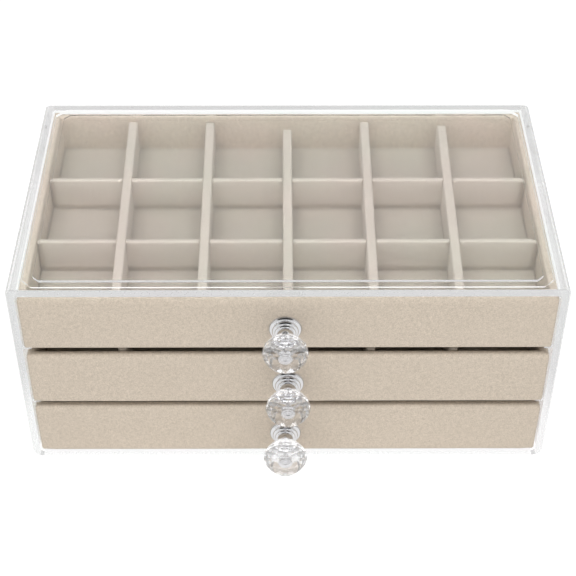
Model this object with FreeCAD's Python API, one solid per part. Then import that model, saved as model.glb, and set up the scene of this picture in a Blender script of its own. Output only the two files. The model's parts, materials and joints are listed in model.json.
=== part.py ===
import FreeCAD, Part
import math
import os

# Clear three-drawer jewellery box. Millimetres, +X to the right, +Y to the back, +Z up.
# The origin is on the table, under the middle of the case.

# Clear moulded case, open at the front
case_width = 235.0
case_depth = 135.0
side_wall = 3.5
back_wall = 2.6
bottom_wall = 3.6
top_wall = 3.7
case_top_radius = 2.3
case_bottom_radius = 4.5
case_back_radius = 1.5
case_lip_radius = 0.5
bay_corner_radius = 2.0

# Shallow groove round the top of the case
groove_side_margin = 6.3
groove_back_margin = 4.7
groove_front_margin = 2.1
groove_width = 4.2
groove_depth = 1.2
groove_outer_chamfer = 4.4
groove_inner_chamfer = 2.7

# Moulded runners that carry the upper two drawers
runner_width = 3.0
runner_thickness = 2.2
runner_end_margin = 3.0

# Drawer outside and its running gaps in the case
drawer_height = 28.8
drawer_side_gap = 0.5
drawer_back_gap = 0.3
drawer_front_recess = 0.5
gap_over_bottom_drawer = 3.35
gap_over_middle_drawer = 4.35
gap_over_top_drawer = 1.9

# Drawer boards and velvet
velvet_thickness = 0.7
board_thickness = 2.5
base_thickness = 2.4
drawer_corner_radius = 2.4
drawer_edge_radius = 0.6
rim_inner_radius = 0.5
pad_thickness = 8.7
pad_clearance = 0.3
pad_edge_radius = 1.5

# Divider boards, standing on the pad
long_divider_thickness = 4.2
cross_divider_thickness = 2.4
long_divider_radius = 1.4
cross_divider_radius = 0.8
divider_rim_drop = 0.5
divider_end_clearance = 0.3
lap_clearance = 0.3
column_count = 6
divider_toe_in = 1.2
top_front_cell = 31.6
top_middle_cell = 41.3

# Knob: chromed stepped shank, faceted clear head, countersunk screw from inside
knob_height = 11.9
flange_radius = 7.05
flange_thickness = 1.4
middle_step_radius = 5.7
middle_step_thickness = 1.3
inner_step_radius = 4.6
inner_step_thickness = 0.9
step_bevel = 0.4
stem_radius = 3.5
stem_end = 13.3
head_start = 8.4
head_facets = 12
head_rear_radius = 4.7
head_waist = 11.4
head_waist_radius = 7.4
girdle_start = 14.2
girdle_end = 15.8
girdle_radius = 9.8
head_crown = 18.2
head_crown_radius = 8.3
table_distance = 20.4
table_radius = 5.4
socket_clearance = 0.1
socket_extra_depth = 0.2
screw_radius = 1.5
screw_length = 10.0
screw_head_radius = 2.8
screw_head_height = 1.5
screw_hole_clearance = 0.2
thread_clearance = 0.05
thread_extra_depth = 0.5

# Knob places across each drawer front, and the long dividers that each drawer holds
top_knob_x = -1.2
middle_knob_x = 0.0
bottom_knob_x = -1.2
top_columns = [-2, -1, 0, 1, 2]
middle_columns = [-2, 0, 1, 2]

# Levels and faces that follow from the sizes above
case_height = (bottom_wall + 3 * drawer_height + gap_over_bottom_drawer
               + gap_over_middle_drawer + gap_over_top_drawer + top_wall)
case_front = -case_depth / 2
case_back = case_depth / 2
bay_half_width = case_width / 2 - side_wall
bay_back = case_back - back_wall
bottom_level = bottom_wall
middle_level = bottom_level + drawer_height + gap_over_bottom_drawer
top_level = middle_level + drawer_height + gap_over_middle_drawer
drawer_half_width = bay_half_width - drawer_side_gap
drawer_front = case_front + drawer_front_recess
drawer_back = bay_back - drawer_back_gap
lining_inset = 2 * velvet_thickness + board_thickness
inside_half_width = drawer_half_width - lining_inset
inside_front = drawer_front + lining_inset
inside_back = drawer_back - lining_inset
board_top_drop = velvet_thickness
base_top = velvet_thickness + base_thickness
pad_top = base_top + pad_thickness
divider_top = drawer_height - divider_rim_drop
lap_level = (pad_top + divider_top) / 2
even_pitch = (2 * inside_half_width + long_divider_thickness) / column_count
beyond = 10.0


def box(x, y, z):
    """Block between two values along each axis."""
    corner = FreeCAD.Vector(x[0], y[0], z[0])
    return Part.makeBox(x[1] - x[0], y[1] - y[0], z[1] - z[0], corner)


def round_edges(shape, radius, chosen):
    """Round the edges for which chosen(edge's box) is true."""
    edges = [edge for edge in shape.Edges if chosen(edge.BoundBox)]
    return shape.makeFillet(radius, edges)


def runs_along_y(edge_box):
    return edge_box.YLength > 1.0 and edge_box.XLength < 0.01 and edge_box.ZLength < 0.01


def soft_block(x, y, z, top_radius, bottom_radius):
    """Block whose four edges along Y are round."""
    middle = (z[0] + z[1]) / 2
    shape = box(x, y, z)
    shape = round_edges(shape, top_radius, lambda b: runs_along_y(b) and b.ZMin > middle)
    return round_edges(shape, bottom_radius, lambda b: runs_along_y(b) and b.ZMax < middle)


def round_outline_at(shape, y, radius):
    """Round the outline of the face that lies square to Y at this place."""
    return round_edges(shape, radius, lambda b: abs(b.YMin - y) < 0.01 and abs(b.YMax - y) < 0.01)


# Case
def chamfered_prism(half_width, front, back, chamfer, depth):
    """Eight-sided block, down from the top of the case."""
    points = [
        (-half_width + chamfer, front),
        (half_width - chamfer, front),
        (half_width, front + chamfer),
        (half_width, back - chamfer),
        (half_width - chamfer, back),
        (-half_width + chamfer, back),
        (-half_width, back - chamfer),
        (-half_width, front + chamfer),
    ]
    floor = case_height - depth
    outline = [FreeCAD.Vector(x, y, floor) for x, y in points + points[:1]]
    face = Part.Face(Part.makePolygon(outline))
    return face.extrude(FreeCAD.Vector(0, 0, depth + beyond))


def top_groove():
    """Ring that is cut into the top."""
    half_width = case_width / 2 - groove_side_margin
    front = case_front + groove_front_margin
    back = case_back - groove_back_margin
    outer = chamfered_prism(half_width, front, back, groove_outer_chamfer, groove_depth)
    inner = chamfered_prism(half_width - groove_width, front + groove_width, back - groove_width,
                            groove_inner_chamfer, groove_depth)
    return outer.cut(inner)


def runner(side, level):
    """Ledge on one side wall, whose top is at this level."""
    wall = side * (bay_half_width + side_wall / 2)
    edge = side * (bay_half_width - runner_width)
    across = (min(wall, edge), max(wall, edge))
    along = (case_front + runner_end_margin, bay_back + back_wall / 2)
    return box(across, along, (level - runner_thickness, level))


def outer_case():
    """One clear moulding: five walls, the runners and the groove."""
    across = (-case_width / 2, case_width / 2)
    shell = soft_block(across, (case_front, case_back), (0, case_height),
                       case_top_radius, case_bottom_radius)
    shell = round_outline_at(shell, case_back, case_back_radius)
    shell = round_outline_at(shell, case_front, case_lip_radius)
    bay = soft_block((-bay_half_width, bay_half_width), (case_front - beyond, bay_back),
                     (bottom_wall, case_height - top_wall), bay_corner_radius, bay_corner_radius)
    shell = shell.cut(bay)
    for side in (-1, 1):
        for level in (middle_level, top_level):
            shell = shell.fuse(runner(side, level))
    shell = shell.removeSplitter()
    return shell.cut(top_groove())


# Drawer
def knob_axis_shape(knob_x, level, outline):
    """Turned solid on the knob's axis, from points of (distance before the front, radius)."""
    points = []
    for distance, radius in outline + outline[:1]:
        points.append(FreeCAD.Vector(knob_x + radius, drawer_front - distance, level + knob_height))
    face = Part.Face(Part.makePolygon(points))
    axis_point = FreeCAD.Vector(knob_x, 0, level + knob_height)
    return face.revolve(axis_point, FreeCAD.Vector(0, -1, 0), 360)


def screw_outline(clearance):
    """Countersunk screw, or with a clearance the hole that it goes through."""
    head_face = -velvet_thickness - board_thickness
    head_edge = screw_head_radius + clearance
    shaft = screw_radius + clearance
    neck = head_face + screw_head_height
    tip = head_face + screw_length
    return [(head_face, 0), (head_face, head_edge), (neck, shaft), (tip, shaft), (tip, 0)]


def board_block(level):
    """Outside shape of the boards, before they are cut apart."""
    inset = velvet_thickness
    half = drawer_half_width - inset
    radius = drawer_corner_radius - inset
    return soft_block((-half, half), (drawer_front + inset, drawer_back - inset),
                      (level + inset, level + drawer_height - board_top_drop), radius, radius)


def drawer_boards(level, knob_x):
    """Base, front, back and two sides, as a name and a solid each."""
    block = board_block(level)
    inset = velvet_thickness + board_thickness
    side_face = drawer_half_width - inset
    front_face = drawer_front + inset
    back_face = drawer_back - inset
    wide = (-case_width, case_width)
    deep = (-case_depth, case_depth)
    wall_z = (level + base_top, level + drawer_height)
    boards = {
        "base_board": block.common(box(wide, deep, (level, level + base_top))),
        "front_board": block.common(box(wide, (-case_depth, front_face), wall_z)),
        "back_board": block.common(box(wide, (back_face, case_depth), wall_z)),
        "left_board": block.common(box((-case_width, -side_face), (front_face, back_face), wall_z)),
        "right_board": block.common(box((side_face, case_width), (front_face, back_face), wall_z)),
    }
    hole = knob_axis_shape(knob_x, level, screw_outline(screw_hole_clearance))
    boards["front_board"] = boards["front_board"].cut(hole)
    return boards


def velvet_wrap(level, knob_x):
    """Velvet skin over the outside, the rim and the inside walls of the boards."""
    half = drawer_half_width
    skin = soft_block((-half, half), (drawer_front, drawer_back), (level, level + drawer_height),
                      drawer_corner_radius, drawer_corner_radius)
    skin = round_outline_at(skin, drawer_front, drawer_edge_radius)
    skin = round_outline_at(skin, drawer_back, drawer_edge_radius)
    inside = box((-inside_half_width, inside_half_width), (inside_front, inside_back),
                 (level + base_top, level + drawer_height + beyond))
    skin = skin.cut(inside)
    rim = level + drawer_height
    rim_box = (inside_half_width + 0.01, max(-inside_front, inside_back) + 0.01)
    skin = round_edges(skin, rim_inner_radius,
                       lambda b: b.ZMin > rim - 0.01 and max(-b.XMin, b.XMax) < rim_box[0]
                       and max(-b.YMin, b.YMax) < rim_box[1])
    side_face = inside_half_width + velvet_thickness
    hollow = box((-side_face, side_face),
                 (inside_front - velvet_thickness, inside_back + velvet_thickness),
                 (level + base_top, level + drawer_height))
    skin = skin.cut(board_block(level).cut(hollow))
    return skin.cut(knob_axis_shape(knob_x, level, screw_outline(screw_hole_clearance)))


def floor_pad(level):
    """Foam pad on the base board."""
    gap = pad_clearance
    pad = box((-inside_half_width + gap, inside_half_width - gap),
              (inside_front + gap, inside_back - gap),
              (level + base_top, level + pad_top))
    return round_edges(pad, pad_edge_radius, lambda b: b.ZMin > level + pad_top - 0.01)


# Dividers
def column_x(column, y):
    """Middle of a long divider at this depth. The row closes up towards the front."""
    front_pitch = even_pitch - divider_toe_in
    share = (y - inside_front) / (inside_back - inside_front)
    return column * (front_pitch + share * (even_pitch - front_pitch))


def divider_lean(column):
    """Angle of a long divider to the Y axis, in degrees."""
    run = inside_back - inside_front
    return math.degrees(math.atan2(column_x(column, inside_back) - column_x(column, inside_front), run))


def standing_board(column, thickness, heights, top_radius):
    """Upright board along Y on a column's line, before its laps are cut."""
    length = inside_back - inside_front - 2 * divider_end_clearance - thickness * math.sin(
        math.radians(abs(divider_lean(column))))
    half = thickness / 2
    board = box((-half, half), (-length / 2, length / 2), heights)
    if top_radius > 0:
        board = round_edges(board, top_radius, lambda b: b.ZMin > heights[1] - 0.01)
    middle = (inside_front + inside_back) / 2
    board.rotate(FreeCAD.Vector(0, 0, 0), FreeCAD.Vector(0, 0, 1), -divider_lean(column))
    board.translate(FreeCAD.Vector(column_x(column, middle), middle, 0))
    return board


def long_divider(level, column, crossings):
    """Board with a slot from below over each cross divider."""
    heights = (level + pad_top, level + divider_top)
    board = standing_board(column, long_divider_thickness, heights, long_divider_radius)
    half = cross_divider_thickness / 2 + lap_clearance
    for y in crossings:
        slot = box((-case_width, case_width), (y - half, y + half),
                   (level, level + lap_level + lap_clearance))
        board = board.cut(slot)
    return board


def cross_divider(level, y, columns):
    """Board with a slot from above under each long divider."""
    half = cross_divider_thickness / 2
    reach = inside_half_width - divider_end_clearance
    top = level + divider_top
    board = box((-reach, reach), (y - half, y + half), (level + pad_top, top))
    board = round_edges(board, cross_divider_radius, lambda b: b.ZMin > top - 0.01)
    slot_thickness = long_divider_thickness + 2 * lap_clearance
    for column in columns:
        heights = (level + lap_level, top + beyond)
        board = board.cut(standing_board(column, slot_thickness, heights, 0))
    return board


def drawer_dividers(level, columns, crossings):
    """All the dividers of one drawer, as a name and a solid each."""
    dividers = {}
    for number, column in enumerate(columns, start=1):
        dividers["long_divider_" + str(number)] = long_divider(level, column, crossings)
    for number, y in enumerate(crossings, start=1):
        dividers["cross_divider_" + str(number)] = cross_divider(level, y, columns)
    return dividers


# Knob
def knob_shank(level, knob_x):
    """Three steps, a stem that reaches into the head, and a threaded hole."""
    first = flange_thickness
    second = first + middle_step_thickness
    third = second + inner_step_thickness
    outline = [
        (0, 0),
        (0, flange_radius),
        (first - step_bevel, flange_radius),
        (first, flange_radius - step_bevel),
        (first, middle_step_radius),
        (second - step_bevel, middle_step_radius),
        (second, middle_step_radius - step_bevel),
        (second, inner_step_radius),
        (third, stem_radius),
        (stem_end, stem_radius),
        (stem_end, 0),
    ]
    shank = knob_axis_shape(knob_x, level, outline)
    hole_end = screw_length - velvet_thickness - board_thickness + thread_extra_depth
    hole_radius = screw_radius + thread_clearance
    hole = [(0, 0), (0, hole_radius), (hole_end, hole_radius), (hole_end, 0)]
    return shank.cut(knob_axis_shape(knob_x, level, hole))


def head_ring(knob_x, level, distance, radius, half_step):
    """Corners of one ring of facets."""
    corners = []
    for index in range(head_facets):
        angle = 2 * math.pi * (index + 0.5 * half_step) / head_facets
        x = knob_x + radius * math.cos(angle)
        z = level + knob_height + radius * math.sin(angle)
        corners.append(FreeCAD.Vector(x, drawer_front - distance, z))
    return corners


def facet_faces(first, second, first_half_step, second_half_step):
    """Flat faces between two rings: four-sided in line, else three-sided zigzag."""
    faces = []
    count = len(first)
    for index in range(count):
        after = (index + 1) % count
        if first_half_step == second_half_step:
            outlines = [[first[index], first[after], second[after], second[index]]]
        elif first_half_step < second_half_step:
            outlines = [[first[index], first[after], second[index]],
                        [first[after], second[after], second[index]]]
        else:
            outlines = [[first[index], first[after], second[after]],
                        [first[index], second[after], second[index]]]
        for outline in outlines:
            faces.append(Part.Face(Part.makePolygon(outline + outline[:1])))
    return faces


def knob_head(level, knob_x):
    """Faceted clear head with a blind socket for the stem."""
    rings = [
        (head_start, head_rear_radius, 0),
        (head_waist, head_waist_radius, 1),
        (girdle_start, girdle_radius, 0),
        (girdle_end, girdle_radius, 0),
        (head_crown, head_crown_radius, 1),
        (table_distance, table_radius, 0),
    ]
    corners = [head_ring(knob_x, level, *ring) for ring in rings]
    faces = [Part.Face(Part.makePolygon(corners[0] + corners[0][:1])),
             Part.Face(Part.makePolygon(corners[-1] + corners[-1][:1]))]
    for index in range(len(rings) - 1):
        faces += facet_faces(corners[index], corners[index + 1],
                             rings[index][2], rings[index + 1][2])
    head = Part.makeSolid(Part.makeShell(faces))
    if head.Volume < 0:
        head.reverse()
    socket_radius = stem_radius + socket_clearance
    socket_end = stem_end + socket_extra_depth
    socket = [(0, 0), (0, socket_radius), (socket_end, socket_radius), (socket_end, 0)]
    return head.cut(knob_axis_shape(knob_x, level, socket))


def knob_screw(level, knob_x):
    """Countersunk screw, flush with the inside of the front board."""
    return knob_axis_shape(knob_x, level, screw_outline(0))


# Whole box
def drawer(level, knob_x, columns, crossings):
    """Every piece of one drawer, as a name and a solid each."""
    pieces = drawer_boards(level, knob_x)
    pieces["velvet_wrap"] = velvet_wrap(level, knob_x)
    pieces["floor_pad"] = floor_pad(level)
    pieces["knob_shank"] = knob_shank(level, knob_x)
    pieces["knob_head"] = knob_head(level, knob_x)
    pieces["knob_screw"] = knob_screw(level, knob_x)
    pieces.update(drawer_dividers(level, columns, crossings))
    return pieces


def jewellery_box():
    """Every node of the box."""
    first_crossing = inside_front + top_front_cell + cross_divider_thickness / 2
    second_crossing = first_crossing + top_middle_cell + cross_divider_thickness
    middle_crossing = (inside_front + inside_back) / 2
    drawers = {
        "top": drawer(top_level, top_knob_x, top_columns, [first_crossing, second_crossing]),
        "middle": drawer(middle_level, middle_knob_x, middle_columns, [middle_crossing]),
        "bottom": drawer(bottom_level, bottom_knob_x, [], []),
    }
    nodes = {"outer_case": outer_case()}
    for place, pieces in drawers.items():
        for piece, solid in pieces.items():
            nodes[place + "_" + piece] = solid
    return nodes


os.makedirs("parts", exist_ok=True)
for node, solid in jewellery_box().items():
    solid.exportStep("parts/" + node + ".step")
    print(node, "valid", solid.isValid(), "solids", len(solid.Solids), "volume", round(solid.Volume, 1))
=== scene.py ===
import json
import math

import bpy
import numpy as np
from mathutils import Matrix, Vector


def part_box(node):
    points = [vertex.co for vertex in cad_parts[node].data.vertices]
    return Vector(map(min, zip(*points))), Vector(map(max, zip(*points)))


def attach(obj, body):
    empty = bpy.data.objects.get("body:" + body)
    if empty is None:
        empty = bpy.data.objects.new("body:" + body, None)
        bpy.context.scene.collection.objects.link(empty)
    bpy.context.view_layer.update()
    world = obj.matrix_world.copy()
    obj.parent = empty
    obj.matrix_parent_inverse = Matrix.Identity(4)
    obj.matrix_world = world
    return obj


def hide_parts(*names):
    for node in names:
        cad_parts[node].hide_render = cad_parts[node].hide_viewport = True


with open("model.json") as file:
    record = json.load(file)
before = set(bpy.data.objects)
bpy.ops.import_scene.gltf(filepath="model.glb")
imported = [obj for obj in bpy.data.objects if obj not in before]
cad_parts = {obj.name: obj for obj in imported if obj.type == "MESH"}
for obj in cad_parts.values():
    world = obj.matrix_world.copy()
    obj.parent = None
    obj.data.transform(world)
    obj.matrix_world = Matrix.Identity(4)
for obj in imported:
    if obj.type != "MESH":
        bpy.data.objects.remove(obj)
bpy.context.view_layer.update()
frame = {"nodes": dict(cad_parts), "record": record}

MM = 0.001
DRAWERS = ("top", "middle", "bottom")
BOARD_SIDES = ("base", "front", "back", "left", "right")

# Velvet colours, as the shader takes them. All three are one velvet: the dividers' lining is a
# greyer copy that carries painted haze and sheen, and the floor a darker copy with painted shade
COVER_BEIGE = (0.645, 0.562, 0.466)
LINING_BEIGE_PAINTED_HAZE = (0.625, 0.567, 0.493)
FLOOR_BEIGE_PAINTED_SHADE = (0.49, 0.446, 0.382)

# Camera, at the photograph's place: metres, radians, and millimetres of lens and sensor
CAMERA_PLACE = (-0.002034, -0.492081, 0.486175)
CAMERA_YAW = 0.004603
CAMERA_PITCH = 0.732231
CAMERA_ROLL = 0.001553
CAMERA_LENS = 86.375
CAMERA_SENSOR = 36.0


def place_camera():
    """Looks down at the box from the front. Its axes come from a yaw, a pitch and a small roll."""
    level_share, drop = math.cos(CAMERA_PITCH), math.sin(CAMERA_PITCH)
    forward = Vector((math.sin(CAMERA_YAW) * level_share, math.cos(CAMERA_YAW) * level_share, -drop))
    level = Vector((math.cos(CAMERA_YAW), -math.sin(CAMERA_YAW), 0))
    above = level.cross(forward)
    right = math.cos(CAMERA_ROLL) * level + math.sin(CAMERA_ROLL) * above
    up = math.cos(CAMERA_ROLL) * above - math.sin(CAMERA_ROLL) * level
    data = bpy.data.cameras.new("camera")
    data.sensor_width = CAMERA_SENSOR
    data.sensor_fit = "HORIZONTAL"
    data.lens = CAMERA_LENS
    data.clip_start = 0.01
    camera = bpy.data.objects.new("camera", data)
    turn = Matrix((right, up, -forward)).transposed().to_4x4()
    camera.matrix_world = Matrix.Translation(CAMERA_PLACE) @ turn
    bpy.context.scene.collection.objects.link(camera)
    bpy.context.scene.camera = camera


# Node helpers
def add(tree, kind, **inputs):
    """A new node with some of its inputs set or linked. An input's name has _ for each space."""
    node = tree.nodes.new(kind)
    for name, value in inputs.items():
        socket = node.inputs[name.replace("_", " ")]
        if isinstance(value, bpy.types.NodeSocket):
            tree.links.new(value, socket)
        else:
            socket.default_value = value
    return node


def math_node(tree, operation, first, second=None):
    """The output of a Math node on one or two numbers or sockets."""
    node = tree.nodes.new("ShaderNodeMath")
    node.operation = operation
    for socket, value in zip(node.inputs, (first, second)):
        if isinstance(value, bpy.types.NodeSocket):
            tree.links.new(value, socket)
        elif value is not None:
            socket.default_value = value
    return node.outputs[0]


def noise(tree, place, scale, detail, roughness=0.5):
    """The value of a noise texture."""
    return add(tree, "ShaderNodeTexNoise", Vector=place, Scale=scale, Detail=detail,
               Roughness=roughness).outputs[0]


def spread(tree, value, low, high, to_low, to_high):
    """Stretches a value from one range to another and keeps it inside."""
    node = add(tree, "ShaderNodeMapRange", Value=value)
    node.inputs["From Min"].default_value = low
    node.inputs["From Max"].default_value = high
    node.inputs["To Min"].default_value = to_low
    node.inputs["To Max"].default_value = to_high
    return node.outputs[0]


def blend_colours(tree, share, first, second, blend="MIX"):
    """Mixes two colours."""
    node = tree.nodes.new("ShaderNodeMix")
    node.data_type = "RGBA"
    node.blend_type = blend
    for index, value in ((0, share), (6, first), (7, second)):
        if isinstance(value, bpy.types.NodeSocket):
            tree.links.new(value, node.inputs[index])
        elif index == 0:
            node.inputs[index].default_value = value
        else:
            node.inputs[index].default_value = (*value, 1)
    return node.outputs[2]


def mix_shaders(tree, share, first, second):
    """The output of a mix of two shaders."""
    node = tree.nodes.new("ShaderNodeMixShader")
    for socket, value in zip(node.inputs, (share, first, second)):
        tree.links.new(value, socket)
    return node.outputs[0]


def new_group(name, inputs, outputs):
    """An empty shader group with its sockets, and its two end nodes."""
    group = bpy.data.node_groups.new(name, "ShaderNodeTree")
    kinds = {"colour": "NodeSocketColor", "value": "NodeSocketFloat"}
    for socket, kind in inputs.items():
        group.interface.new_socket(socket, in_out="INPUT", socket_type=kinds[kind])
    for socket, kind in outputs.items():
        group.interface.new_socket(socket, in_out="OUTPUT", socket_type=kinds[kind])
    return group, group.nodes.new("NodeGroupInput"), group.nodes.new("NodeGroupOutput")


# Noise scales of the velvet, in steps per metre, and the part of a noise's range that is used
SPECKLE_SCALE = 1900.0
CLUMP_SCALE = 640.0
PATCH_SCALE = 38.0
NOISE_LOW, NOISE_HIGH = 0.32, 0.68
PILE_SHADE = (0.8, 0.79, 0.77)
PILE_LIGHT = (1.14, 1.14, 1.15)


def velvet_pile():
    """Short pile: fine speckle, small clumps, and wide soft patches where the pile leans another
    way. Together they shift the colour between a shade and a light of it."""
    group, given, result = new_group(
        "velvet_pile", {"Colour": "colour", "Grain": "value", "Patches": "value"},
        {"Colour": "colour", "Roughness": "value", "Height": "value"})
    place = add(group, "ShaderNodeTexCoord").outputs["Object"]
    speckle = noise(group, place, SPECKLE_SCALE, 2.0, 0.6)
    clumps = noise(group, place, CLUMP_SCALE, 3.0)
    patches = noise(group, place, PATCH_SCALE, 3.0, 0.55)
    fine = math_node(group, "ADD", math_node(group, "MULTIPLY", speckle, 0.7),
                     math_node(group, "MULTIPLY", clumps, 0.3))
    light = math_node(group, "MULTIPLY", spread(group, fine, NOISE_LOW, NOISE_HIGH, -0.5, 0.5),
                      given.outputs["Grain"])
    lean = math_node(group, "MULTIPLY", spread(group, patches, NOISE_LOW, NOISE_HIGH, -0.5, 0.5),
                     given.outputs["Patches"])
    light = math_node(group, "ADD", math_node(group, "ADD", light, lean), 0.5)
    shade = blend_colours(group, 1.0, given.outputs["Colour"], PILE_SHADE, "MULTIPLY")
    pale = blend_colours(group, 1.0, given.outputs["Colour"], PILE_LIGHT, "MULTIPLY")
    group.links.new(blend_colours(group, light, shade, pale), result.inputs["Colour"])
    group.links.new(spread(group, light, 0.0, 1.0, 0.95, 0.8), result.inputs["Roughness"])
    group.links.new(fine, result.inputs["Height"])
    return group


def smudges():
    """Faint handling marks on a polished surface: soft blots and short fine wipe marks."""
    group, given, result = new_group("smudges", {"Least": "value", "Most": "value"},
                                     {"Roughness": "value", "Mask": "value"})
    place = add(group, "ShaderNodeTexCoord").outputs["Object"]
    blots = spread(group, noise(group, place, 28.0, 4.0, 0.6), 0.45, 0.75, 0.0, 1.0)
    stretch = add(group, "ShaderNodeMapping", Vector=place, Scale=(900.0, 60.0, 300.0))
    wipes = spread(group, noise(group, stretch.outputs[0], 1.0, 2.0), 0.55, 0.8, 0.0, 1.0)
    mask = math_node(group, "ADD", math_node(group, "MULTIPLY", blots, 0.7),
                     math_node(group, "MULTIPLY", wipes, 0.3))
    group.links.new(mask, result.inputs["Mask"])
    reach = math_node(group, "SUBTRACT", given.outputs["Most"], given.outputs["Least"])
    level = math_node(group, "ADD", given.outputs["Least"],
                      math_node(group, "MULTIPLY", mask, reach))
    group.links.new(level, result.inputs["Roughness"])
    return group


# Materials
def new_material(name):
    """A node material with its Principled node and output."""
    material = bpy.data.materials.new(name)
    material.use_nodes = True
    tree = material.node_tree
    return material, tree, tree.nodes["Principled BSDF"], tree.nodes["Material Output"]


def place_group(tree, group, **inputs):
    """Puts a shader group into a material, with its own values."""
    node = tree.nodes.new("ShaderNodeGroup")
    node.node_tree = group
    for name, value in inputs.items():
        node.inputs[name].default_value = value
    return node


def velvet(name, pile, colour, grain, patches):
    """Beige velvet with a soft sheen."""
    material, tree, shader, _ = new_material(name)
    group = place_group(tree, pile, Colour=(*colour, 1), Grain=grain, Patches=patches)
    tree.links.new(group.outputs["Colour"], shader.inputs["Base Color"])
    tree.links.new(group.outputs["Roughness"], shader.inputs["Roughness"])
    bump = add(tree, "ShaderNodeBump", Height=group.outputs["Height"], Strength=0.5 * grain,
               Distance=0.3 * MM)
    tree.links.new(bump.outputs[0], shader.inputs["Normal"])
    shader.inputs["Sheen Weight"].default_value = 0.25
    shader.inputs["Sheen Roughness"].default_value = 0.45
    shader.inputs["Sheen Tint"].default_value = (1.0, 0.94, 0.86, 1)
    shader.inputs["Specular IOR Level"].default_value = 0.2
    return material


# Scale of the painted reflection tint's drift, grey of the light that goes straight through, and
# the count of a ray's turns after which a wall shows a painted white glow
PAINTED_REFLECTION_SCALE = 24.0
STRAIGHT_GREY = 0.97
MOST_TURNS = 5.5


def clear_plastic(name, marks, tints, ior, roughness, shadow, painted_glow, straight):
    """Clear polished plastic that refracts, and lets the lamps' light through to what is behind it.
    A faint painted reflection tint drifts between two colours. After many turns inside a wall a
    ray ends in a painted white glow, at the painted_glow strength, in place of the studio's white.
    The straight share of each ray passes without a turn."""
    material, tree, shader, output = new_material(name)
    group = place_group(tree, marks, Least=roughness[0], Most=roughness[1])
    tree.links.new(group.outputs["Roughness"], shader.inputs["Roughness"])
    place = add(tree, "ShaderNodeTexCoord").outputs["Object"]
    # Painted reflection: a faint tint that drifts between two colours
    painted_reflection = spread(tree, noise(tree, place, PAINTED_REFLECTION_SCALE, 3.0), 0.4, 0.6, 0.0, 1.0)
    tree.links.new(blend_colours(tree, painted_reflection, *tints), shader.inputs["Base Color"])
    shader.inputs["IOR"].default_value = ior
    shader.inputs["Transmission Weight"].default_value = 1.0
    path = add(tree, "ShaderNodeLightPath")
    passed = blend_colours(tree, path.outputs["Is Shadow Ray"], (STRAIGHT_GREY,) * 3, (shadow,) * 3)
    through = add(tree, "ShaderNodeBsdfTransparent", Color=passed)
    share = math_node(tree, "MAXIMUM", path.outputs["Is Shadow Ray"], straight)
    clear = mix_shaders(tree, share, shader.outputs[0], through.outputs[0])
    # Painted glow: after many turns inside a wall the plastic shines white, as if lit from the
    # studio
    turned = math_node(tree, "GREATER_THAN", path.outputs["Ray Depth"], MOST_TURNS)
    direct = math_node(tree, "LESS_THAN", path.outputs["Diffuse Depth"], 0.5)
    glow = add(tree, "ShaderNodeEmission", Strength=painted_glow)
    ended = mix_shaders(tree, math_node(tree, "MULTIPLY", turned, direct), clear, glow.outputs[0])
    tree.links.new(ended, output.inputs["Surface"])
    return material


def plated_metal(name, marks, colour, roughness):
    """Polished plated metal with faint handling marks."""
    material, tree, shader, _ = new_material(name)
    group = place_group(tree, marks, Least=roughness[0], Most=roughness[1])
    tree.links.new(group.outputs["Roughness"], shader.inputs["Roughness"])
    tint = blend_colours(tree, group.outputs["Mask"], colour, tuple(0.92 * c for c in colour))
    tree.links.new(tint, shader.inputs["Base Color"])
    shader.inputs["Metallic"].default_value = 1.0
    return material


def fibreboard(name):
    """Raw brown fibreboard, flecked and slightly uneven."""
    material, tree, shader, _ = new_material(name)
    place = add(tree, "ShaderNodeTexCoord").outputs["Object"]
    flecks = spread(tree, noise(tree, place, 700.0, 4.0, 0.7), 0.35, 0.65, 0.0, 1.0)
    tint = blend_colours(tree, flecks, (0.2, 0.13, 0.075), (0.36, 0.25, 0.15))
    tree.links.new(tint, shader.inputs["Base Color"])
    bump = add(tree, "ShaderNodeBump", Height=flecks, Strength=0.3, Distance=0.2 * MM)
    tree.links.new(bump.outputs[0], shader.inputs["Normal"])
    shader.inputs["Roughness"].default_value = 0.85
    return material


# Mesh helpers
def box_corners(node):
    """The low and high corner of a CAD node, as arrays."""
    return (np.array(corner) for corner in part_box(node))


def finish_piece(name, points, faces, material, slot, body, *nodes, smooth=True):
    """Makes the mesh, hangs it on the body it rides on, and hides the nodes it stands for."""
    mesh = bpy.data.meshes.new(name)
    mesh.from_pydata(points.reshape(-1, 3).tolist(), [], faces)
    mesh.polygons.foreach_set("use_smooth", np.full(len(mesh.polygons), smooth))
    mesh.materials.append(material)
    mesh.update()
    piece = bpy.data.objects.new(name, mesh)
    bpy.context.scene.collection.objects.link(piece)
    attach(piece, body)
    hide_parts(*nodes)
    return piece


def ring_faces(rings, around, start_cap, end_cap):
    """Four-sided faces between rings that each close on themselves, with a flat cap on either
    end."""
    index = np.arange(rings * around).reshape(rings, around)
    after = np.roll(index, -1, axis=1)
    corners = [index[:-1], after[:-1], after[1:], index[1:]]
    faces = np.stack(corners, axis=-1).reshape(-1, 4).tolist()
    if start_cap:
        faces.append(index[0, ::-1].tolist())
    if end_cap:
        faces.append(index[-1].tolist())
    return faces


def smoothstep(value):
    """0 below 0, 1 above 1, and a soft rise between them."""
    value = np.clip(value, 0, 1)
    return value * value * (3 - 2 * value)


def unevenness(points):
    """A small height for each point from a few crossing waves, between about -1 and 1."""
    x, y, z = np.moveaxis(points, -1, 0)
    return (0.4 * np.sin(71 * x + 1.7 * np.sin(93 * z) + 0.6)
            + 0.3 * np.sin(183 * x - 47 * y + 131 * z) + 0.3 * np.sin(58 * y + 211 * z + 2.1))


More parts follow.
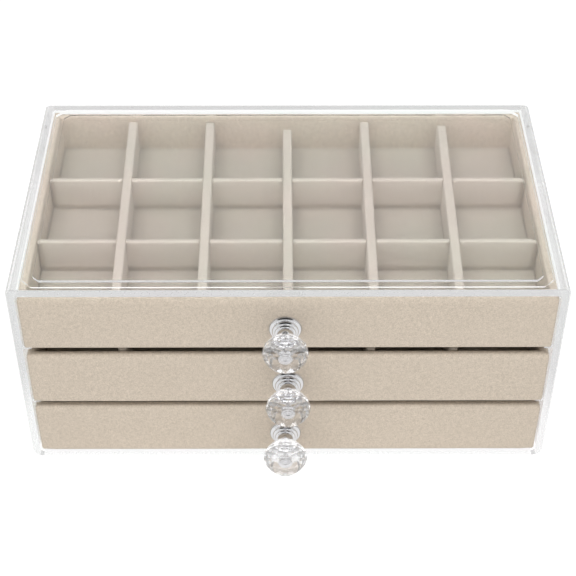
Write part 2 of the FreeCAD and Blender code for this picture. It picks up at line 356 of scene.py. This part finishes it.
# Drawer covers: the velvet's thickness, the covered wall's, and the radii of the plan's corners
SKIN = 0.6 * MM
WALL = 3.9 * MM
CORNER = 0.9 * MM
LEAST_RADIUS = 0.3 * MM
# The rim's outer edge is an ellipse of this height and depth at front and back
TOP_EDGE = 3.6 * MM
TOP_BACK = 1.7 * MM
# At the sides all outer edges have one radius, and they change over within this reach of a corner
SIDE_EDGE = 1.6 * MM
CORNER_REACH = 6 * MM
# For each drawer: its lower edge, its rim's inner edge, and how much its back wall rises
DRAWER_EDGES = {"top": (1.5 * MM, 1.3 * MM, 1.6 * MM),
                "middle": (1.0 * MM, 1.3 * MM, 0.0),
                "bottom": (1.0 * MM, 0.7 * MM, 0.0)}
# How far the rings under the base lie inwards
UNDERSIDE_INSETS = (24 * MM, 8 * MM)
# The cloth's waves: half their depth, and how near to the outside they reach
CLOTH_WAVE = 0.07 * MM
WAVE_REACH = 0.4 * MM


def plan_stations(side_steps, end_steps, corner_steps):
    """Places round a rounded rectangle, anticlockwise from the front left corner. Each has the
    share of the half width and half depth at which its corner centre lies, and an outward unit
    vector. Places on a side crowd towards the corners as the sine of an even step."""
    shares, outward = [], []
    corners = ((-1, -1, 180), (1, -1, 270), (1, 1, 0), (-1, 1, 90))
    for number, (across, along, start) in enumerate(corners):
        turn = np.radians(start + np.linspace(0, 90, corner_steps + 1))
        shares.append(np.tile((across, along), (corner_steps + 1, 1)))
        outward.append(np.stack([np.cos(turn), np.sin(turn)], axis=1))
        following = corners[(number + 1) % 4]
        steps = side_steps if number % 2 == 0 else end_steps
        run = np.sin(np.linspace(-np.pi / 2, np.pi / 2, steps + 1))[1:-1, None]
        here, there = np.array((across, along)), np.array(following[:2])
        shares.append((here + there) / 2 + run * (there - here) / 2)
        outward.append(np.tile((math.cos(turn[-1]), math.sin(turn[-1])), (steps - 1, 1)))
    return np.concatenate(shares).astype(float), np.concatenate(outward)


def cover_rings(low, high, floor_height, foot, inner, rise):
    """Rings of a drawer's velvet, from under its base up the outside, over the rim and down the
    inside. Each ring is the plan's rounded rectangle moved inwards by an inset and up to a height,
    which both follow a quarter circle at each edge. The rim's outer edge at front and back is a
    quarter of an ellipse, taller than deep. Near a corner the edges go over to the sides' radius.
    Towards the back the walls grow by up to the rise, as a soft step along the depth."""
    shares, outward = plan_stations(110, 70, 6)
    half = (high - low) / 2
    middle = (high + low) / 2
    tall = high[2] - low[2]
    beside = (1 - np.abs(shares[:, 0])) * half[0]
    facing_side = np.abs(outward[:, 0]) > 0.02
    sideways = np.where(facing_side, 1.0, smoothstep(1 - beside / CORNER_REACH))
    edge = foot + (SIDE_EDGE - foot) * sideways
    rim = TOP_EDGE + (SIDE_EDGE - TOP_EDGE) * sideways
    rim_in = TOP_BACK + (SIDE_EDGE - TOP_BACK) * sideways
    lie = np.ones(len(shares))
    quarter = np.linspace(0, np.pi / 2, 9)
    profile = [(inset * lie, 0 * lie) for inset in UNDERSIDE_INSETS]
    profile += [(edge * (1 - np.sin(q)), edge * (1 - np.cos(q))) for q in quarter]
    straight = np.linspace(0, 1, 16)[1:-1]
    profile += [(0 * lie, edge + s * (tall - edge - rim)) for s in straight]
    profile += [(rim_in * (1 - np.cos(q)), tall - rim * (1 - np.sin(q))) for q in quarter]
    profile += [((WALL - inner + inner * np.sin(q)) * lie,
                 (tall - inner * (1 - np.cos(q))) * lie) for q in quarter]
    drop = tall - inner - floor_height
    down = np.linspace(0, 1, 9)[1:]
    profile += [(WALL * lie, (tall - inner - s * drop) * lie) for s in down]
    rings = []
    for inset, height in profile:
        radius = np.maximum(CORNER - inset, LEAST_RADIUS)
        x = middle[0] + shares[:, 0] * (half[0] - inset - radius) + radius * outward[:, 0]
        y = middle[1] + shares[:, 1] * (half[1] - inset - radius) + radius * outward[:, 1]
        height = height * (1 + rise / tall * smoothstep((y - low[1]) / (high[1] - low[1])))
        rings.append(np.stack([x, y, low[2] + height], axis=1))
    return np.array(rings)


def drawer_cover(drawer, material):
    """The velvet of one drawer, as a skin over its boards. Its outside waves inwards a little, by
    the unevenness at each point."""
    low, high = box_corners(drawer + "_velvet_wrap")
    floor_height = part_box(drawer + "_floor_pad")[0][2] - low[2]
    rings = cover_rings(low, high, floor_height, *DRAWER_EDGES[drawer])
    middle = (low + high) / 2
    near_outside = np.abs(rings - middle) > (high - low) / 2 - WAVE_REACH
    inwards = np.sign(middle - rings) * near_outside
    rings += inwards * CLOTH_WAVE * (1 + unevenness(rings + low[2]))[..., None]
    faces = ring_faces(*rings.shape[:2], True, False)
    cover = finish_piece(drawer + "_drawer_cover", rings, faces, material, "velvet",
                         drawer + "_drawer", drawer + "_velvet_wrap")
    skin = cover.modifiers.new("cloth", "SOLIDIFY")
    skin.thickness = SKIN
    skin.offset = -1


# Floor pads: the rounding of their upper edge, how far they lie under the CAD's top, how much they
# crown in a cell, how far from a wall the crown is full, and their least thickness
PAD_EDGE = 1.0 * MM
PAD_DROP = 0.12 * MM
PAD_CROWN = 0.7 * MM
PAD_CROWN_REACH = 9 * MM
PAD_LEAST = 2 * MM
PAD_WAVE = 0.06 * MM
PAD_LIFT = 0.05 * MM


def crowded(low, high, edge, edge_steps, steps):
    """Places from low to high, with more of them within the edge at each end."""
    first = edge * (1 - np.cos(np.linspace(0, np.pi / 2, edge_steps + 1)))
    inside = np.linspace(low + edge, high - edge, steps + 1)[1:-1]
    return np.concatenate([low + first, inside, high - first[::-1]])


def padded_floor(drawer, material, walls_x, walls_y):
    """Soft pad: its top sinks to the sides on a quarter circle and crowns a little in each cell, so
    its height is the product of one low arch per cell across and one along."""
    low, high = box_corners(drawer + "_floor_pad")
    x = crowded(low[0], high[0], PAD_EDGE, 7, 150)
    y = crowded(low[1], high[1], PAD_EDGE, 7, 90)
    grid_x, grid_y = np.meshgrid(x, y)
    near_x = np.minimum(grid_x - low[0], high[0] - grid_x)
    near_y = np.minimum(grid_y - low[1], high[1] - grid_y)
    sink = sum(PAD_EDGE - np.sqrt(np.maximum(PAD_EDGE ** 2 - np.maximum(PAD_EDGE - near, 0) ** 2, 0))
               for near in (near_x, near_y))
    arch = np.ones_like(grid_x)
    for lines, along in ((walls_x(grid_y), grid_x), (walls_y(grid_x), grid_y)):
        gap = np.min([np.abs(along - line) for line in lines], axis=0)
        arch *= smoothstep(gap / PAD_CROWN_REACH)
    sink = np.minimum(sink, high[2] - low[2] - PAD_LEAST)
    top = high[2] - PAD_DROP - sink + PAD_CROWN * arch
    top += PAD_WAVE * unevenness(np.stack([grid_x, grid_y, top], axis=-1))
    upper = np.stack([grid_x, grid_y, top], axis=-1)
    lower = np.stack([grid_x, grid_y, np.full_like(grid_x, low[2] + PAD_LIFT)], axis=-1)
    rows, columns = grid_x.shape
    count = rows * columns
    index = np.arange(count).reshape(rows, columns)
    corners = [index[:-1, :-1], index[:-1, 1:], index[1:, 1:], index[1:, :-1]]
    quads = np.stack(corners, axis=-1).reshape(-1, 4)
    border = np.concatenate([index[0, :-1], index[:-1, -1], index[-1, :0:-1], index[:0:-1, 0]])
    after = np.roll(border, -1)
    skirt = np.stack([border + count, after + count, after, border], axis=-1)
    faces = np.concatenate([quads, quads[:, ::-1] + count, skirt]).tolist()
    points = np.concatenate([upper.reshape(-1, 3), lower.reshape(-1, 3)])
    pad = finish_piece(drawer + "_padded_floor", points, faces, material, "lining",
                       drawer + "_drawer", drawer + "_floor_pad")


# Dividers: thickness and edge radius of the long and the cross cards
LONG_CARD = (4.2 * MM, 0.9 * MM)
CROSS_CARD = (2.4 * MM, 0.7 * MM)
NOTCH_CLEARANCE = 0.15 * MM
LAP_CLEARANCE = 0.2 * MM
NOTCH_STEP = 0.02 * MM
CARD_WAVE = 0.05 * MM
# How much a card's ends narrow, and how far its upper rear corner is rounded
END_PINCH = 0.35
LONG_REAR_ROUND = 2 * MM
CROSS_REAR_ROUND = 1 * MM
REAR_ROUNDS = {"top_long_divider_2": 3 * MM, "top_long_divider_3": 12 * MM,
               "top_long_divider_5": 7 * MM}


def node_points(node):
    """A CAD node's vertices as an array."""
    mesh = frame["nodes"][node].data
    points = np.empty(3 * len(mesh.vertices))
    mesh.vertices.foreach_get("co", points)
    return points.reshape(-1, 3)


def middle_line(node):
    """Start and end of a divider's middle line in plan, from its end faces' corners."""
    points = node_points(node)
    axis = int(np.ptp(points[:, 1]) > np.ptp(points[:, 0]))
    ends = []
    for far in (points[:, axis].min(), points[:, axis].max()):
        face = points[np.abs(points[:, axis] - far) < 0.5 * MM]
        ends.append((face[:, :2].min(axis=0) + face[:, :2].max(axis=0)) / 2)
    return np.array(ends)


def divider_sections(length, low, high, notches, notch_from_top, lap):
    """Stations along a divider with its lower and upper height at each. At a notch the height steps
    to the lap's height, between two stations that nearly coincide."""
    stations = set(np.linspace(0, length, 70).tolist())
    for start, end in notches:
        stations |= {start - NOTCH_STEP, start, end, end + NOTCH_STEP}
    stations = np.array(sorted(stations))
    stations = stations[(stations >= 0) & (stations <= length)]
    bottom, top = np.full(len(stations), low), np.full(len(stations), high)
    for start, end in notches:
        inside = (stations >= start - 1e-9) & (stations <= end + 1e-9)
        if notch_from_top:
            top[inside] = lap
        else:
            bottom[inside] = lap
    return stations, bottom, top


def divider(node, drawer, material, card, crossings, notch_from_top, rear_round):
    """A velvet-covered card: a section with a round top edge, carried along the divider's line. The
    section runs up one side, over a half circle flattened to the edge's radius, and down the other.
    Its slots are half its height. The upper rear corner is rounded, nearly as a quarter circle."""
    thickness, radius = card
    start, end = middle_line(node)
    heights = node_points(node)[:, 2]
    low, high = heights.min(), heights.max()
    lap = (low + high) / 2 - (LAP_CLEARANCE if notch_from_top else 0)
    length = np.hypot(*(end - start))
    along = (end - start) / length
    across = np.array((along[1], -along[0]))
    notches = [(place - half - NOTCH_CLEARANCE, place + half + NOTCH_CLEARANCE)
               for place, half in crossings]
    stations, bottom, top = divider_sections(length, low, high, notches, notch_from_top, lap)
    behind = np.clip(1 - (length - stations) / rear_round, 0, 1)
    top = top - 0.95 * rear_round * (1 - np.sqrt(1 - behind ** 2))
    half = thickness / 2
    outline = [(half, share, 0.0) for share in np.linspace(0, 1, 6)[:-1]]
    outline += [(half - radius * (1 - math.cos(t)), 1.0, radius * (math.sin(t) - 1))
                for t in np.linspace(0, np.pi / 2, 7)]
    outline += [(-side, share, drop) for side, share, drop in reversed(outline)]
    side, share, drop = (np.array(column) for column in zip(*outline))
    ends_in = np.minimum(stations, length - stations)
    narrow = np.sqrt(np.maximum(1 - np.maximum(1 - ends_in / radius, 0) ** 2, 0))
    pinch = 1 - END_PINCH + END_PINCH * narrow
    heights = bottom[:, None] + share * (top - bottom)[:, None] + drop
    heights = np.where(share > 0, heights, bottom[:, None])
    heights += CARD_WAVE * np.sin(stations * 190 + start[0] * 900)[:, None] * (share > 0.9)
    spine = start + stations[:, None] * along
    flat = spine[:, None, :] + (side * pinch[:, None])[..., None] * across
    rings = np.concatenate([flat, heights[..., None]], axis=-1)
    faces = ring_faces(*rings.shape[:2], True, True)
    finish_piece(node + "_card", rings, faces, material, "lining", drawer + "_drawer", node)


def crossing(line, other):
    """How far along a line another crosses it: the place where start plus distance times direction
    is the same point on both."""
    (start, end), (other_start, other_end) = line, other
    direction = (end - start) / np.hypot(*(end - start))
    other_direction = (other_end - other_start) / np.hypot(*(other_end - other_start))
    sides = np.array((direction, -other_direction)).T
    return np.linalg.solve(sides, other_start - start)[0]


def drawer_dividers(drawer, material):
    """Every divider of a drawer, notched where two cross. Returns the lines for the pad's
    arches."""
    nodes = frame["record"]["behaviour"]["bodies"][drawer + "_drawer"]
    long_lines = {node: middle_line(node) for node in nodes if "_long_divider_" in node}
    cross_lines = {node: middle_line(node) for node in nodes if "_cross_divider_" in node}
    for node, line in long_lines.items():
        crossings = [(crossing(line, other), CROSS_CARD[0] / 2) for other in cross_lines.values()]
        divider(node, drawer, material, LONG_CARD, crossings, False,
                REAR_ROUNDS.get(node, LONG_REAR_ROUND))
    for node, line in cross_lines.items():
        crossings = [(crossing(line, other), LONG_CARD[0] / 2) for other in long_lines.values()]
        divider(node, drawer, material, CROSS_CARD, crossings, True, CROSS_REAR_ROUND)
    return list(long_lines.values()), list(cross_lines.values())


def drawer_inside(drawer, lining, floor):
    """Dividers and padded floor of one drawer."""
    long_lines, cross_lines = drawer_dividers(drawer, lining)
    low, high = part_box(drawer + "_floor_pad")

    def walls_x(y):
        across = [np.interp(y, line[:, 1], line[:, 0]) for line in long_lines]
        return [np.full_like(y, low[0]), np.full_like(y, high[0])] + across

    def walls_y(x):
        along = [np.full_like(x, line[0, 1]) for line in cross_lines]
        return [np.full_like(x, low[1]), np.full_like(x, high[1])] + along

    padded_floor(drawer, floor, walls_x, walls_y)


# Knobs, in millimetres. A shank's step: its start and end before the drawer, radius and edge
SHANK_STEPS = ((0.0, 1.4, 7.05, 1.3), (1.4, 2.7, 5.7, 1.15), (2.7, 3.6, 4.6, 0.85))
# Its stem, with the pin that enters the head: distance before the drawer, and radius
SHANK_STEM = [(3.62, 3.72), (3.75, 3.55), (4.0, 3.5), (8.3, 3.5), (8.45, 3.3), (8.5, 2.0),
              (8.9, 2.0), (9.0, 1.9)]
# The head's rings: distance before the drawer, radius, and which of its points are corners
HEAD_RINGS = ((8.4, 5.8, "even"), (11.4, 8.3, "odd"), (14.0, 9.8, "all"), (15.7, 9.8, "all"),
              (17.4, 9.1, "odd"), (18.9, 8.0, "even"), (20.3, 6.7, "odd"))
HEAD_POINTS = 24
HEAD_STEP = math.radians(15)


def knob_origin(drawer):
    """The point where a knob's axis meets the drawer's front."""
    low, high = box_corners(drawer + "_knob_shank")
    return np.array(((low[0] + high[0]) / 2, high[1], (low[2] + high[2]) / 2))


def turned_rings(drawer, profile, around):
    """A profile of distances before the drawer and radii in millimetres, turned round the knob's
    axis, as one ring of points for each of them."""
    origin = knob_origin(drawer)
    distance, radius = np.array(profile).T[:, :, None] * MM
    turn = np.linspace(0, 2 * np.pi, around + 1)[:-1]
    return np.stack([origin[0] + radius * np.cos(turn), origin[1] - distance + 0 * turn,
                     origin[2] + radius * np.sin(turn)], axis=-1)


def knob_shank(drawer, material):
    """The turned shank, with each step's edge on a quarter circle and a small hollow where one step
    meets the next."""
    profile = [(0.0, 6.6)]
    turn = np.linspace(0, np.pi / 2, 8)
    for back, front, radius, edge in SHANK_STEPS:
        profile += [(back + 0.02, radius - 0.05), (back + 0.2, radius)]
        profile += [(front - edge + edge * math.sin(t), radius - edge + edge * math.cos(t))
                    for t in turn]
    rings = turned_rings(drawer, profile + SHANK_STEM, 96)
    faces = ring_faces(*rings.shape[:2], True, True)
    finish_piece(drawer + "_turned_shank", rings, faces, material, "knob_metal",
                 drawer + "_drawer", drawer + "_knob_shank")


def head_ring(distance, radius, corners):
    """The points of one ring of the cut head. Its corners are the even or the odd points, and the
    others lie on the straight line between them. On the girdle all are corners, and the odd ones
    lie a little deeper."""
    number = np.arange(HEAD_POINTS)
    turn = HEAD_STEP * number
    other = number % 2 == (0 if corners == "odd" else 1)
    share = np.where(other, 0.97 if corners == "all" else math.cos(HEAD_STEP), 1.0)
    return np.stack([radius * share * np.cos(turn), np.full(HEAD_POINTS, -distance),
                     radius * share * np.sin(turn)], axis=1) * MM


def cut_head(drawer, material):
    """The clear head: triangular facets between rings whose corners stand half a step apart."""
    rings = knob_origin(drawer) + np.array([head_ring(*ring) for ring in HEAD_RINGS])
    index = np.arange(HEAD_POINTS * len(rings)).reshape(len(rings), HEAD_POINTS)
    after = np.roll(index, -1, axis=1)
    faces = [index[0, ::-1].tolist(), index[-1].tolist()]
    for number, (behind, ahead) in enumerate(zip(HEAD_RINGS[:-1], HEAD_RINGS[1:])):
        even_to_odd = behind[2] == "even" or ahead[2] == "odd"
        corners = [index[number], after[number], after[number + 1], index[number + 1]]
        for k, (a, b, c, d) in enumerate(np.stack(corners, axis=-1).tolist()):
            if even_to_odd == (k % 2 == 0):
                faces += [[a, b, c], [a, c, d]]
            else:
                faces += [[a, b, d], [b, c, d]]
    finish_piece(drawer + "_cut_head", rings, faces, material, "knob_crystal",
                 drawer + "_drawer", drawer + "_knob_head", smooth=False)


def knob_disc(drawer, material):
    """The small bright disc inside the head, where the threaded insert ends, with its rim rounded
    on a quarter circle and its middle slightly hollow."""
    profile = [(16.6, 3.1)]
    profile += [(16.8 + 0.3 * math.sin(t), 2.8 + 0.3 * math.cos(t))
                for t in np.linspace(0, np.pi / 2, 6)]
    profile += [(17.0, 2.0), (16.9, 1.4), (17.05, 0.8), (17.1, 0.3)]
    rings = turned_rings(drawer, profile, 48)
    faces = ring_faces(*rings.shape[:2], True, True)
    finish_piece(drawer + "_knob_disc", rings, faces, material, "knob_metal",
                 drawer + "_drawer", drawer + "_knob_head")


# Studio. A lamp's name, place, size and power
LAMPS = (("high_left", (-0.4, -0.5, 1.4), (0.7, 0.7), 5.9),
         ("high_right", (0.4, -0.5, 1.4), (0.7, 0.7), 5.9),
         ("left", (-1.0, -0.85, 0.6), (0.5, 0.5), 2.7),
         ("right", (1.0, -0.85, 0.6), (0.5, 0.5), 2.7),
         ("low_left", (-0.45, -1.1, 0.09), (0.6, 0.12), 1.0),
         ("low_right", (0.45, -1.1, 0.09), (0.6, 0.12), 1.0))
LAMP_AIM = (0, 0, 0.05)
# Strengths of the sky and the table as lights, and of the table as it is seen
SKY_LIGHT = 0.1
TABLE_LIGHT = 0.4
TABLE_GLOW = 0.84
TABLE_GREY = 0.45
TABLE_HALF = 4
# The dark card: its direction, the cosines where it starts and is full, and how much it dims
CARD_DIRECTION = (0.0, -0.35, 0.937)
CARD_START, CARD_FULL = 0.6, 0.74
CARD_DIMS = 0.93


def visible_share(tree):
    """1 for what the camera sees directly, in a reflection or through the plastic, before any soft
    bounce."""
    path = add(tree, "ShaderNodeLightPath")
    seen = math_node(tree, "MAXIMUM", path.outputs["Is Camera Ray"], path.outputs["Is Glossy Ray"])
    seen = math_node(tree, "MAXIMUM", seen, path.outputs["Is Transmission Ray"])
    sharp = math_node(tree, "LESS_THAN", path.outputs["Diffuse Depth"], 0.5)
    return math_node(tree, "MULTIPLY", seen, sharp)


def studio_sky():
    """White surround with a dark card high up before the box, which only reflections and the cut
    heads show."""
    world = bpy.data.worlds.new("studio")
    bpy.context.scene.world = world
    world.use_nodes = True
    tree = world.node_tree
    sky = tree.nodes["Background"]
    sky.inputs["Color"].default_value = (1, 1, 1, 1)
    seen = visible_share(tree)
    towards = tree.nodes.new("ShaderNodeVectorMath")
    towards.operation = "DOT_PRODUCT"
    tree.links.new(add(tree, "ShaderNodeTexCoord").outputs["Generated"], towards.inputs[0])
    towards.inputs[1].default_value = CARD_DIRECTION
    card = spread(tree, towards.outputs["Value"], CARD_START, CARD_FULL, 0.0, CARD_DIMS)
    shown = math_node(tree, "MULTIPLY", seen, math_node(tree, "SUBTRACT", 1.0, card))
    unseen = math_node(tree, "MULTIPLY", math_node(tree, "SUBTRACT", 1.0, seen), SKY_LIGHT)
    tree.links.new(math_node(tree, "ADD", shown, unseen), sky.inputs["Strength"])


def studio_table():
    """White floor that shows the object's soft shadow, and lights the box from below."""
    material, tree, shader, output = new_material("floor")
    shader.inputs["Base Color"].default_value = (0.8, 0.8, 0.8, 1)
    shader.inputs["Roughness"].default_value = 0.9
    shader.inputs["Emission Color"].default_value = (1, 1, 1, 1)
    shader.inputs["Emission Strength"].default_value = TABLE_LIGHT
    soft = add(tree, "ShaderNodeBsdfDiffuse", Color=(TABLE_GREY, TABLE_GREY, TABLE_GREY, 1))
    glow = add(tree, "ShaderNodeEmission", Strength=TABLE_GLOW)
    lifted = tree.nodes.new("ShaderNodeAddShader")
    tree.links.new(soft.outputs[0], lifted.inputs[0])
    tree.links.new(glow.outputs[0], lifted.inputs[1])
    mix = mix_shaders(tree, visible_share(tree), shader.outputs[0], lifted.outputs[0])
    tree.links.new(mix, output.inputs["Surface"])
    corners = [(x * TABLE_HALF, y * TABLE_HALF, 0) for x, y in ((-1, -1), (1, -1), (1, 1), (-1, 1))]
    mesh = bpy.data.meshes.new("floor")
    mesh.from_pydata(corners, [], [(0, 1, 2, 3)])
    mesh.materials.append(material)
    floor = bpy.data.objects.new("floor", mesh)
    bpy.context.scene.collection.objects.link(floor)


def studio_lamps():
    """Soft lamps that light the box but show in no reflection."""
    for name, place, size, power in LAMPS:
        lamp = bpy.data.lights.new(name, "AREA")
        lamp.shape = "RECTANGLE"
        lamp.size, lamp.size_y = size
        lamp.energy = power
        light = bpy.data.objects.new(name, lamp)
        turn = (Vector(LAMP_AIM) - Vector(place)).to_track_quat("-Z", "Y").to_matrix().to_4x4()
        light.matrix_world = Matrix.Translation(place) @ turn
        light.visible_glossy = False
        bpy.context.scene.collection.objects.link(light)


def dress(node, material):
    """Gives a CAD node that stays its material."""
    piece = frame["nodes"][node]
    piece.data.materials.clear()
    piece.data.materials.append(material)


def build():
    """The whole box and its studio."""
    place_camera()
    pile, marks = velvet_pile(), smudges()
    cover = velvet("cover_velvet", pile, COVER_BEIGE, grain=1.1, patches=0.05)
    # The lining and floor velvets are copies of the cover's velvet, with painted haze and sheen, and
    # painted shade
    lining = velvet("lining_velvet_painted_haze", pile, LINING_BEIGE_PAINTED_HAZE, grain=0.4, patches=0.1)
    floor = velvet("floor_velvet_painted_shade", pile, FLOOR_BEIGE_PAINTED_SHADE, grain=0.4, patches=0.1)
    acrylic = clear_plastic("case_acrylic", marks, ((0.965, 0.985, 0.975), (0.99, 0.972, 0.98)),
                            ior=1.49, roughness=(0.09, 0.18), shadow=0.96, painted_glow=0.72,
                            straight=0.0)
    crystal = clear_plastic("knob_crystal", marks, ((0.94, 0.945, 0.955), (0.95, 0.945, 0.96)),
                            ior=1.56, roughness=(0.0, 0.02), shadow=0.55, painted_glow=0.4,
                            straight=0.2)
    chrome = plated_metal("knob_chrome", marks, (0.62, 0.62, 0.63), (0.03, 0.1))
    zinc = plated_metal("screw_zinc", marks, (0.6, 0.6, 0.58), (0.25, 0.45))
    board = fibreboard("drawer_board")
    dress("outer_case", acrylic)
    for drawer in DRAWERS:
        drawer_cover(drawer, cover)
        drawer_inside(drawer, lining, floor)
        knob_shank(drawer, chrome)
        cut_head(drawer, crystal)
        knob_disc(drawer, chrome)
        dress(drawer + "_knob_screw", zinc)
        for side in BOARD_SIDES:
            dress(f"{drawer}_{side}_board", board)
    studio_sky()
    studio_table()
    studio_lamps()
    scene = bpy.context.scene
    scene.view_settings.view_transform = "Standard"
    scene.cycles.max_bounces = 32
    scene.cycles.transmission_bounces = 32
    scene.cycles.glossy_bounces = 32


build()
bpy.context.view_layer.update()
